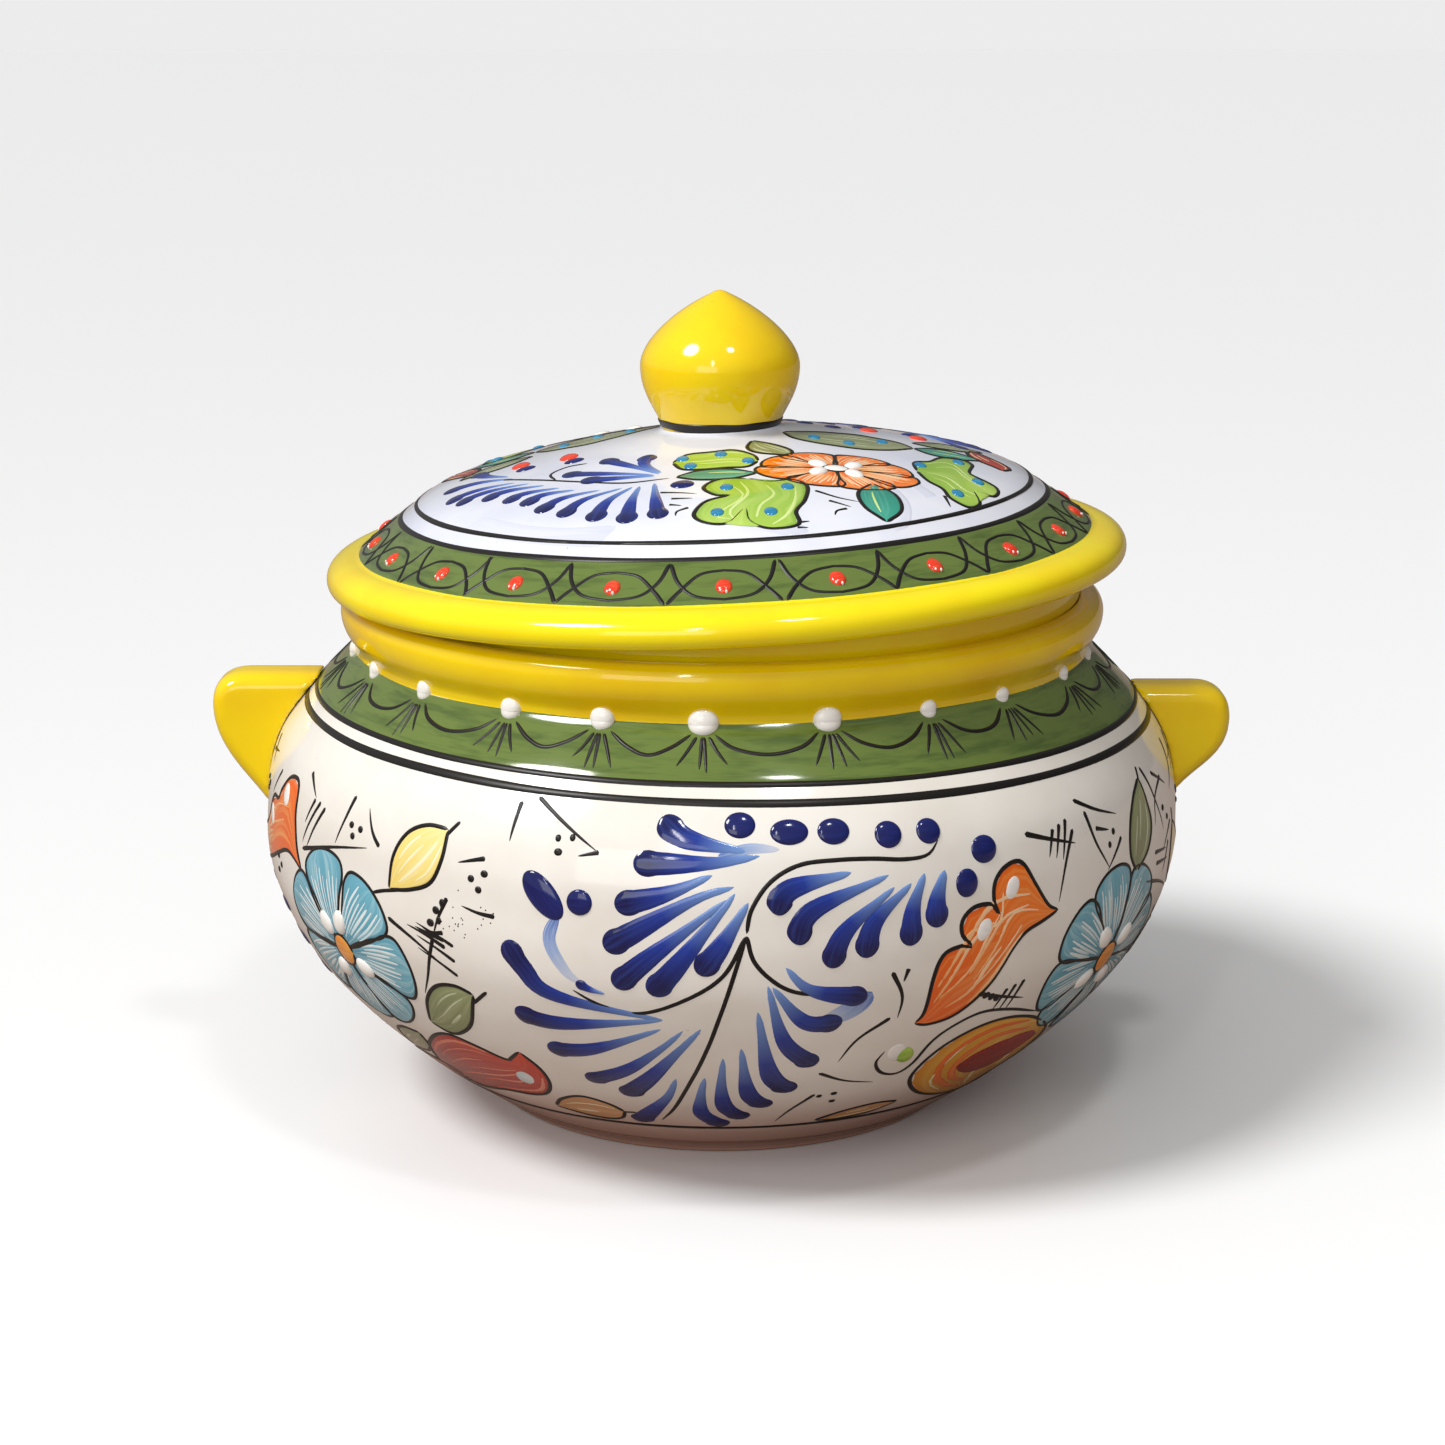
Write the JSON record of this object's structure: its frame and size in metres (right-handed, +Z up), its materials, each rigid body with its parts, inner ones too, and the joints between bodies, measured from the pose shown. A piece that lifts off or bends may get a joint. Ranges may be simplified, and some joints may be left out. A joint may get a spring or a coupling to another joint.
{
  "type": "lidded pottery tureen",
  "caption": "Squat lidded earthenware tureen with a bellied bowl, ear lugs at the sides and a domed lid with an onion knob.",
  "frame": {"origin": "on the table, under the centre of the bowl", "axes": "+X through the right ear lug, +Y to the back, +Z up"},
  "size_m": [0.339, 0.3028, 0.265],
  "materials": {
    "white_glaze": "glossy opaque tin glaze over earthenware",
    "cool_white_glaze": "glossy cool white tin glaze over earthenware",
    "yellow_glaze": "glossy bright yellow glaze",
    "green_glaze": "glossy brushed olive green glaze",
    "black_line": "glossy black line colour under clear glaze",
    "cobalt_blue": "thick glossy cobalt enamel, pale at the tails",
    "flower_enamels": "glossy orange, red, blue and green enamels"
  },
  "bodies": {
    "pot": {"bowl": "white_glaze", "foot_ring": "white_glaze", "handle_left": "yellow_glaze", "handle_right": "yellow_glaze"},
    "lid": {"lid_shell": "cool_white_glaze", "lid_locating_ring": "yellow_glaze", "knob": "yellow_glaze"}
  },
  "joints": [
    {"name": "lid_lift", "type": "slide", "parent": "pot", "child": "lid", "axis": [0, 0, 1], "range_m": [0, 0.15]}
  ]
}
